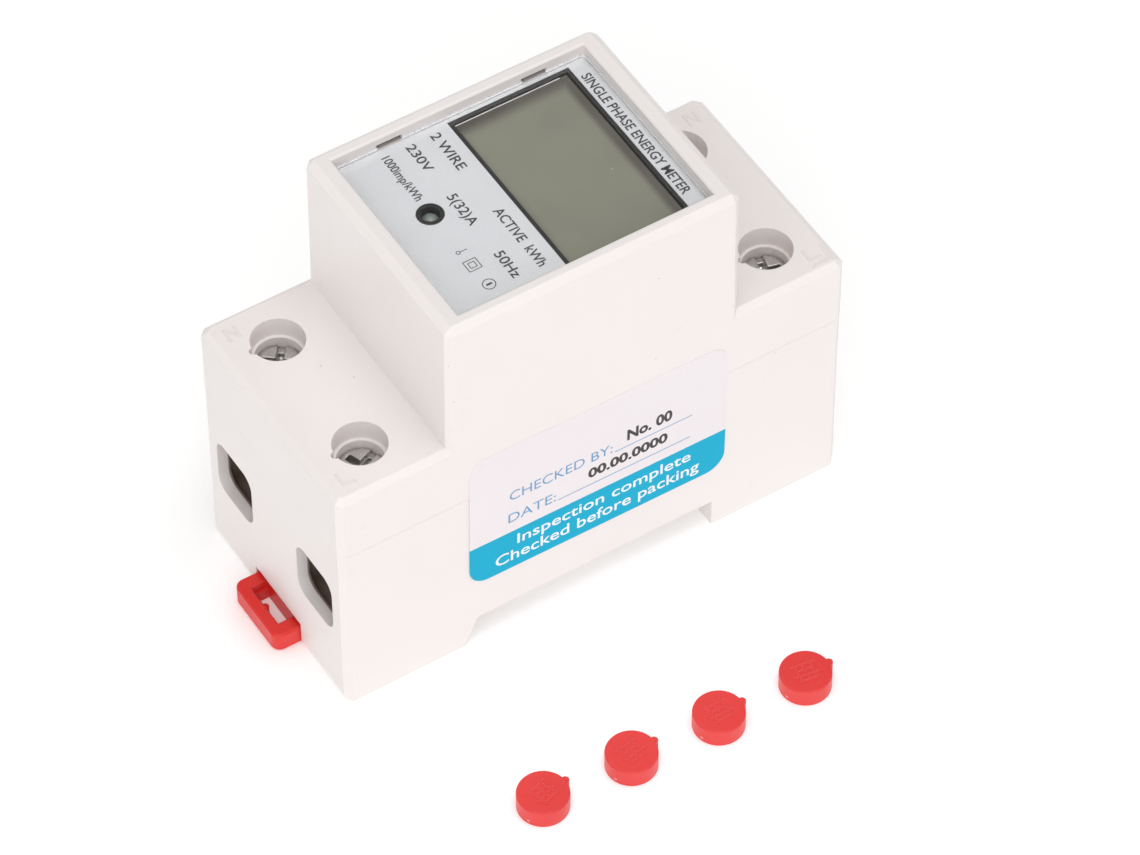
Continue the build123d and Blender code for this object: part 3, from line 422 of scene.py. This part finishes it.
def board_finish():
    """Green solder mask with the shadow of copper tracks under it."""
    made, tree, shader, place = start_material("circuit board")
    grid = add(tree, "ShaderNodeTexBrick", {
        "Vector": place, "Scale": 160.0, "Mortar Size": 0.05, "Color1": (0.008, 0.085, 0.035, 1),
        "Color2": (0.010, 0.100, 0.042, 1), "Mortar": (0.016, 0.150, 0.060, 1)})
    slow = noise(tree, place, 240.0, 3.0)
    shadow = calc(tree, "MULTIPLY", slow, 0.4)
    colour = blend_colour(tree, shadow, grid.outputs["Color"], (0.006, 0.060, 0.026, 1))
    relief = add(tree, "ShaderNodeBump", {"Height": grid.outputs["Fac"], "Distance": 0.00003,
                                          "Strength": 0.5})
    link(tree, colour, shader, "Base Color")
    link(tree, ramp(tree, slow, 0.3, 0.7, 0.28, 0.42), shader, "Roughness")
    link(tree, relief.outputs[0], shader, "Normal")
    return made


LABEL_TURN = math.radians(-0.7)   # the label is stuck on slightly askew
BAND_TOP = 14.7                   # top of the cyan band at the label's middle, mm above the rail seat


def label_finish():
    """Glossy white film with a cyan band over its lower part, cut at a printed edge, and a very
    fine paper tooth."""
    made, tree, shader, place = start_material("label film")
    low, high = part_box("inspection_label")
    middle_x = (low.x + high.x) / 2
    x, y, z = add(tree, "ShaderNodeSeparateXYZ", {0: place}).outputs
    rise = calc(tree, "MULTIPLY", calc(tree, "SUBTRACT", x, middle_x), math.tan(LABEL_TURN))
    over = calc(tree, "SUBTRACT", z, calc(tree, "ADD", rise, BAND_TOP * MM))
    printed = calc(tree, "LESS_THAN", over, 0.0)
    paper = use_group(tree, moulded, {
        "Place": place, "Colour": (0.860, 0.815, 0.835, 1), "Shade": (0.84, 0.793, 0.815, 1),
        "Speck Colour": (0.6, 0.58, 0.6, 1), "Mottle": 0.4, "Specks": 0.25, "Scratches": 0.1,
        "Roughness": 0.34, "Grain": 0.5})
    shader.inputs["Specular IOR Level"].default_value = 0.1
    band = use_group(tree, inked, {"Place": place, "Ink": (0.0, 0.42, 0.645, 1),
                                   "Ground": (0.004, 0.48, 0.71, 1), "Thin": 0.2})
    link(tree, blend_colour(tree, printed, paper["Colour"], band["Colour"]), shader, "Base Color")
    link(tree, paper["Roughness"], shader, "Roughness")
    relief = add(tree, "ShaderNodeBump", {"Height": paper["Height"], "Distance": 0.000006,
                                          "Strength": 0.4})
    link(tree, relief.outputs[0], shader, "Normal")
    return made


finishes = {
    "base_shell": housing_white, "top_cover": housing_white, "clear_window": window_finish(),
    "face_plate": plate_finish(), "lcd_bezel": frame_black, "lcd_glass": display_finish(),
    "lcd_reflector": reflector_white, "lcd_pins": tin_bright, "pulse_led": lens_finish(),
    "led_sleeve": frame_black, "power_board": board_finish(), "header_pins": tin_bright,
    "header_blocks": frame_black, "metering_chip": chip_black, "controller_chip": chip_black,
    "chip_leads": tin_bright, "crystal": can_bright, "film_capacitor": capacitor_yellow,
    "bulk_capacitor": sleeve_dark, "varistor": varistor_blue, "dropper_resistor": resistor_grey,
    "rectifier_diodes": resistor_grey, "neutral_bar": bar_brass, "shunt_tabs": bar_brass,
    "shunt_element": shunt_grey, "sense_pins": tin_bright, "supply_pins": tin_bright,
    "rail_clip": clip_red, "case_screws": screw_zinc, "inspection_label": label_finish(),
}
finishes["display_board"] = finishes["power_board"]
for piece, node in packed.items():
    if piece.startswith("cage_"):
        finishes[piece] = cage_shaded_dark
    elif piece.startswith("screw_"):
        finishes[piece] = screw_zinc
    elif piece.startswith("seal_cap_"):
        finishes[piece] = cap_red
    for slot in node.material_slots:
        slot.material = finishes[piece]


# ---------------------------------------------------------------- made pieces
INK_THICK = 0.012   # height of the print over its ground, mm


def make_mesh(name, points, faces, finish, body):
    """A piece from whole arrays of points (metres) and faces, riding on a CAD body."""
    mesh = bpy.data.meshes.new(name)
    mesh.from_pydata(np.asarray(points).tolist(), [], faces)
    mesh.update()
    mesh.materials.append(finish)
    made = bpy.data.objects.new(name, mesh)
    bpy.context.scene.collection.objects.link(made)
    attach(made, body)
    return made


def grid_faces(rows, columns):
    """Quads over a grid of rows x columns points; columns close on themselves."""
    r, c = np.meshgrid(np.arange(rows - 1), np.arange(columns), indexing="ij")
    a = r * columns + c
    b = r * columns + (c + 1) % columns
    return np.stack([a, b, b + columns, a + columns], axis=-1).reshape(-1, 4)


def joined(parts):
    """Several (points, faces) pairs as one."""
    points, faces, count = [], [], 0
    for p, f in parts:
        points.append(p)
        faces.extend([[corner + count for corner in face] for face in f])
        count += len(p)
    return np.concatenate(points), faces


def printed_ring(centre, radius, line, sides=48, thick=INK_THICK):
    """A flat printed ring: a rectangle line wide and thick high carried round the circle
    (cx + r cos t, cy + r sin t)."""
    t = np.linspace(0, 2 * math.pi, sides, endpoint=False)
    inner, outer = radius - line / 2, radius + line / 2
    rings = [np.stack([centre[0] + r * np.cos(t), centre[1] + r * np.sin(t), 0 * t + z], axis=-1)
             for r, z in ((inner, 0), (outer, 0), (outer, thick), (inner, thick))]
    points = np.concatenate(rings)
    return points, (grid_faces(5, sides) % len(points)).tolist()


def printed_bar(a, b, line, thick=INK_THICK):
    """A flat printed stroke from a to b: the box swept by a line x thick rectangle."""
    a, b = np.array(a, float), np.array(b, float)
    along = (b - a) / np.linalg.norm(b - a)
    side = np.array([-along[1], along[0]]) * line / 2
    flat = np.array([a - side, b - side, b + side, a + side])
    points = np.concatenate([np.c_[flat, np.zeros(4)], np.c_[flat, np.full(4, thick)]])
    faces = [(3, 2, 1, 0), (4, 5, 6, 7), (0, 1, 5, 4), (1, 2, 6, 5), (2, 3, 7, 6), (3, 0, 4, 7)]
    return points, faces


def lettering(text, width, height, thick=INK_THICK, bolder=0.0):
    """Text as a thin closed mesh in millimetres, its lower left corner at the origin, its width
    and its capitals' height as given: (x, y) = (u width / text width, v height / capital height)."""
    def typeset(words):
        curve = bpy.data.curves.new("type", "FONT")
        curve.body, curve.extrude, curve.resolution_u, curve.offset = words, 0.01, 4, bolder
        spare = bpy.data.objects.new("type", curve)
        bpy.context.scene.collection.objects.link(spare)
        bpy.context.view_layer.update()
        mesh = bpy.data.meshes.new_from_object(spare)
        points = np.empty(len(mesh.vertices) * 3)
        mesh.vertices.foreach_get("co", points)
        faces = [tuple(p.vertices) for p in mesh.polygons]
        bpy.data.objects.remove(spare)
        bpy.data.curves.remove(curve)
        bpy.data.meshes.remove(mesh)
        return points.reshape(-1, 3), faces
    points, faces = typeset(text)
    capital = typeset("H")[0]
    low, high = points.min(0), points.max(0)
    points[:, 0] = (points[:, 0] - low[0]) * width / (high[0] - low[0])
    points[:, 1] = points[:, 1] * height / (capital[:, 1].max() - capital[:, 1].min())
    points[:, 2] = (points[:, 2] - low[2]) * thick / (high[2] - low[2])
    return points, faces


def lay_on(parts, origin, right, up, out):
    """Flat work (x, y, z) in millimetres laid on a face: origin + x right + y up + z out, in metres."""
    points, faces = joined(parts)
    axes = np.array([right, up, out], float)
    return (np.array(origin) + points @ axes) * MM, faces


def moved(part, x, y):
    """A flat part shifted by (x, y)."""
    return part[0] + np.array([x, y, 0.0]), part[1]


# print on the face plate: x runs towards the live side, y towards the load end
plate_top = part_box("face_plate")[1].z / MM
plate_print = [
    moved(lettering("SINGLE PHASE ENERGY METER", 24.8, 1.45, bolder=0.016), -12.7, 16.95),
    moved(lettering("2 WIRE", 7.2, 1.45, bolder=0.012), -14.2, -5.35),
    moved(lettering("ACTIVE  kWh", 11.4, 1.45, bolder=0.012), 1.3, -5.35),
    moved(lettering("230V", 5.2, 1.38, bolder=0.012), -14.2, -9.1),
    moved(lettering("5(32)A", 6.0, 1.45, bolder=0.012), -3.95, -9.1),
    moved(lettering("50Hz", 4.95, 1.45, bolder=0.012), 7.65, -9.15),
    moved(lettering("1000imp/kWh", 8.8, 1.27, bolder=0.012), -14.1, -12.8),
    printed_ring((5.1, -12.85), 0.26, 0.12),
    printed_bar((5.1, -12.6), (5.1, -11.5), 0.12),
    printed_ring((11.72, -12.28), 0.86, 0.13),
    moved(lettering("1", 0.32, 0.85), 11.56, -12.70),
]
for half in (0.92, 0.46):
    corners = [(-half, -half), (half, -half), (half, half), (-half, half)]
    for a, b in zip(corners, corners[1:] + corners[:1]):
        plate_print.append(moved(printed_bar(a, b, 0.12), 7.8, -12.36))
points, faces = lay_on(plate_print, (0, 0, plate_top), (0, -1, 0), (1, 0, 0), (0, 0, 1))
make_mesh("plate_print", points, faces, dark_ink, "housing")

# painted highlight: a light strip on the display glass along the frame's inner back edge
EDGE_HIGHLIGHT = 0.16   # the highlight strip's width, and its distance from the glass's back edge, mm
glass_low, glass_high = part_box("lcd_glass")
highlight_y = glass_high.y / MM - EDGE_HIGHLIGHT
highlight_parts = [printed_bar((glass_low.x / MM + 0.1, highlight_y), (glass_high.x / MM - 1.2, highlight_y), EDGE_HIGHLIGHT)]
points, faces = lay_on(highlight_parts, (0, 0, glass_high.z / MM), (1, 0, 0), (0, 1, 0), (0, 0, 1))
make_mesh("display_edge_highlight", points, faces, reflector_white, "housing")

# print on the inspection label: x runs to the load end, y up
label_low, label_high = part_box("inspection_label")
label_x = (label_low.x + label_high.x) / 2 / MM
label_face = label_low.y / MM
tilt_right = (math.cos(LABEL_TURN), 0, math.sin(LABEL_TURN))
tilt_up = (-math.sin(LABEL_TURN), 0, math.cos(LABEL_TURN))
label_out = (0, -1, 0)
label_origin = (label_x, label_face, 0)
blue_parts = [
    moved(lettering("CHECKED BY:", 16.0, 1.75, bolder=-0.002), -14.2, 21.15),
    moved(lettering("DATE:", 7.4, 1.75, bolder=-0.002), -14.4, 16.7),
    printed_bar((2.2, 20.98), (14.4, 20.98), 0.14),
    printed_bar((-6.7, 16.65), (14.15, 16.65), 0.14),
]
points, faces = lay_on(blue_parts, label_origin, tilt_right, tilt_up, label_out)
make_mesh("label_print_blue", points, faces, label_blue, "housing")
black_parts = [
    moved(lettering("No. 00", 7.1, 2.1, bolder=0.034), 4.1, 22.2),
    moved(lettering("00.00.0000", 12.5, 1.88, bolder=0.034), -1.95, 18.1),
]
points, faces = lay_on(black_parts, label_origin, tilt_right, tilt_up, label_out)
make_mesh("label_print_black", points, faces, label_black, "housing")
white_parts = [
    moved(lettering("Inspection complete", 27.4, 1.98, bolder=0.008), -13.0, 11.68),
    moved(lettering("Checked before packing", 32.2, 2.05, bolder=0.008), -16.4, 8.72),
]
points, faces = lay_on(white_parts, label_origin, tilt_right, tilt_up, label_out)
make_mesh("label_print_white", points, faces, label_white, "housing")


def ridge(a, b, width, height, steps=6):
    """A raised rib from a to b with a half-elliptic cross-section: points
    (along, width/2 cos t, height sin t) for t from 0 to pi, closed underneath and at its ends."""
    a, b = np.array(a, float), np.array(b, float)
    along = (b - a) / np.linalg.norm(b - a)
    side = np.array([-along[1], along[0]])
    t = np.linspace(0, math.pi, steps)
    across, rise = width / 2 * np.cos(t), height * np.sin(t)
    rings = [np.c_[(end + np.outer(across, side)), rise] for end in (a, b)]
    points = np.concatenate(rings)
    i = np.arange(steps - 1)
    strip = np.stack([i, i + 1, i + 1 + steps, i + steps], axis=-1).tolist()
    ends = [list(range(steps))[::-1], list(range(steps, 2 * steps))]
    return points, strip + ends + [[0, steps, 2 * steps - 1, steps - 1]]


def nub(radius, height, rings=5, sides=16):
    """A low rounded nub: rings of radius r cos t at height h sin t for t from 0 to near pi/2, with a
    flat floor just under the surface and a closed crown."""
    t = np.linspace(0, 0.42 * math.pi, rings)
    a = np.linspace(0, 2 * math.pi, sides, endpoint=False)
    reach = np.concatenate([[radius], radius * np.cos(t)])
    rise = np.concatenate([[-0.1], height * np.sin(t)])
    level = np.outer(rise, np.ones(sides))
    points = np.stack([np.outer(reach, np.cos(a)), np.outer(reach, np.sin(a)), level], axis=-1)
    caps = [list(range(sides))[::-1], list(range(rings * sides, (rings + 1) * sides))]
    return points.reshape(-1, 3), grid_faces(rings + 1, sides).tolist() + caps


# raised lattice on each sealing cap, and the nub that its gate left on the rim
RIB_SUNK = 0.02     # the ribs start this far inside the cap's top, mm
GATE_RISE = 0.75    # middle of the gate nub over the cap's underside, mm
cap_lines = [((-1.8, 1.3), (1.8, 1.3)), ((-1.2, 0.4), (1.2, 0.4)), ((-1.8, -0.5), (1.8, -0.5)),
             ((-1.1, 1.8), (-1.1, -1.7)), ((1.1, 1.8), (1.1, -1.7)), ((0.0, 1.3), (0.0, -1.3)),
             ((-1.5, -1.3), (1.5, -1.3))]
for index in range(1, 5):
    low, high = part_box(f"seal_cap_{index}")
    radius = (high.y - low.y) / 2 / MM
    centre_x, centre_y = low.x / MM + radius, (low.y + high.y) / 2 / MM
    turn = math.radians(28.0 - 9.0 * index)
    right = (math.cos(turn), math.sin(turn), 0)
    up = (-math.sin(turn), math.cos(turn), 0)
    ribs = [ridge(a, b, 0.36, 0.16) for a, b in cap_lines]
    points, faces = lay_on(ribs, (centre_x, centre_y, high.z / MM - RIB_SUNK), right, up, (0, 0, 1))
    make_mesh(f"cap_mark_{index}", points, faces, mark_red_highlit, f"seal_cap_{index}")
    away = math.radians(-150.0 - 4.0 * index)
    outward = (math.cos(away), math.sin(away), 0)
    tangent = (-math.sin(away), math.cos(away), 0)
    nub_at = (centre_x + radius * outward[0], centre_y + radius * outward[1], low.z / MM + GATE_RISE)
    points, faces = lay_on([nub(0.26, 0.14)], nub_at, tangent, (0, 0, 1), outward)
    make_mesh(f"cap_gate_{index}", points, faces, gate_pale, f"seal_cap_{index}")

# ---------------------------------------------------------------- studio
FLOOR_GAP = 0.00003   # metres from the meter's feet down to the table
FLOOR_HALF = 3        # metres that the table reaches each way
floor_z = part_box("base_shell")[0].z - FLOOR_GAP
floor_points = [(-FLOOR_HALF, -FLOOR_HALF, floor_z), (FLOOR_HALF, -FLOOR_HALF, floor_z),
                (FLOOR_HALF, FLOOR_HALF, floor_z), (-FLOOR_HALF, FLOOR_HALF, floor_z)]
floor_mesh = bpy.data.meshes.new("table_top")
floor_mesh.from_pydata(floor_points, [], [(0, 1, 2, 3)])
floor = bpy.data.objects.new("table_top", floor_mesh)
bpy.context.scene.collection.objects.link(floor)
floor_finish, tree, shader, place = start_material("pale table")
tone = ramp(tree, noise(tree, place, 3.0, 2.0), 0.3, 0.7, 0.93, 0.95)
table_white = add(tree, "ShaderNodeCombineColor", {0: tone, 1: tone, 2: tone}).outputs[0]
link(tree, table_white, shader, "Base Color")
shader.inputs["Roughness"].default_value = 0.8
shader.inputs["Specular IOR Level"].default_value = 0.1
shader.inputs["Emission Color"].default_value = (1.0, 1.0, 1.0, 1)
shader.inputs["Emission Strength"].default_value = 0.19
floor_mesh.materials.append(floor_finish)

world = bpy.data.worlds.new("studio")
bpy.context.scene.world = world
world.use_nodes = True
sky = next(n for n in world.node_tree.nodes if n.type == "BACKGROUND")
sky.inputs["Color"].default_value = (1.0, 0.995, 0.99, 1)
# white walls all round, and a dark ceiling flag behind the object, so that clear parts don't glare
toward = add(world.node_tree, "ShaderNodeTexCoord").outputs["Generated"]
to_flag = Vector((0.341, 0.543, 0.767)).normalized().to_tuple()
facing = add(world.node_tree, "ShaderNodeVectorMath", {0: toward, 1: to_flag}, operation="DOT_PRODUCT")
glow = ramp(world.node_tree, facing.outputs["Value"], 0.78, 0.95, 0.62, 0.14)
world.node_tree.links.new(glow, sky.inputs["Strength"])


def softbox(name, place, aim, width, height, watts):
    """A rectangular studio lamp at place, facing aim (metres)."""
    lamp = bpy.data.lights.new(name, "AREA")
    lamp.shape, lamp.size, lamp.size_y, lamp.energy = "RECTANGLE", width, height, watts
    made = bpy.data.objects.new(name, lamp)
    made.location = place
    made.rotation_mode = "QUATERNION"
    made.rotation_quaternion = (Vector(aim) - Vector(place)).to_track_quat("-Z", "Y")
    bpy.context.scene.collection.objects.link(made)


meter_middle = (0, 0, 0.03)
softbox("front_softbox", (-0.45, -1.25, 0.50), meter_middle, 0.9, 0.7, 2.0)
softbox("overhead_softbox", (0.12, -0.12, 1.22), meter_middle, 0.7, 0.7, 4.6)
softbox("camera_side_softbox", (-0.62, -0.62, 0.85), meter_middle, 0.9, 0.9, 2.7)

camera_data = bpy.data.cameras.new("camera")
camera_data.lens, camera_data.sensor_width = 187.7, 36.0
camera_data.clip_start, camera_data.clip_end = 0.05, 20.0
camera = bpy.data.objects.new("camera", camera_data)
bpy.context.scene.collection.objects.link(camera)
camera_place = (-0.269555, -0.440207, 0.627086)
view_right = Vector((0.84569, -0.53367, -0.00139))
view_up = Vector((0.41025, 0.64843, 0.64127))
view_back = view_right.cross(view_up).normalized()
turn = Matrix((view_right.normalized(), view_up.normalized(), view_back)).transposed().to_4x4()
camera.matrix_world = Matrix.Translation(camera_place) @ turn
bpy.context.scene.camera = camera
bpy.context.scene.view_settings.view_transform = "Standard"
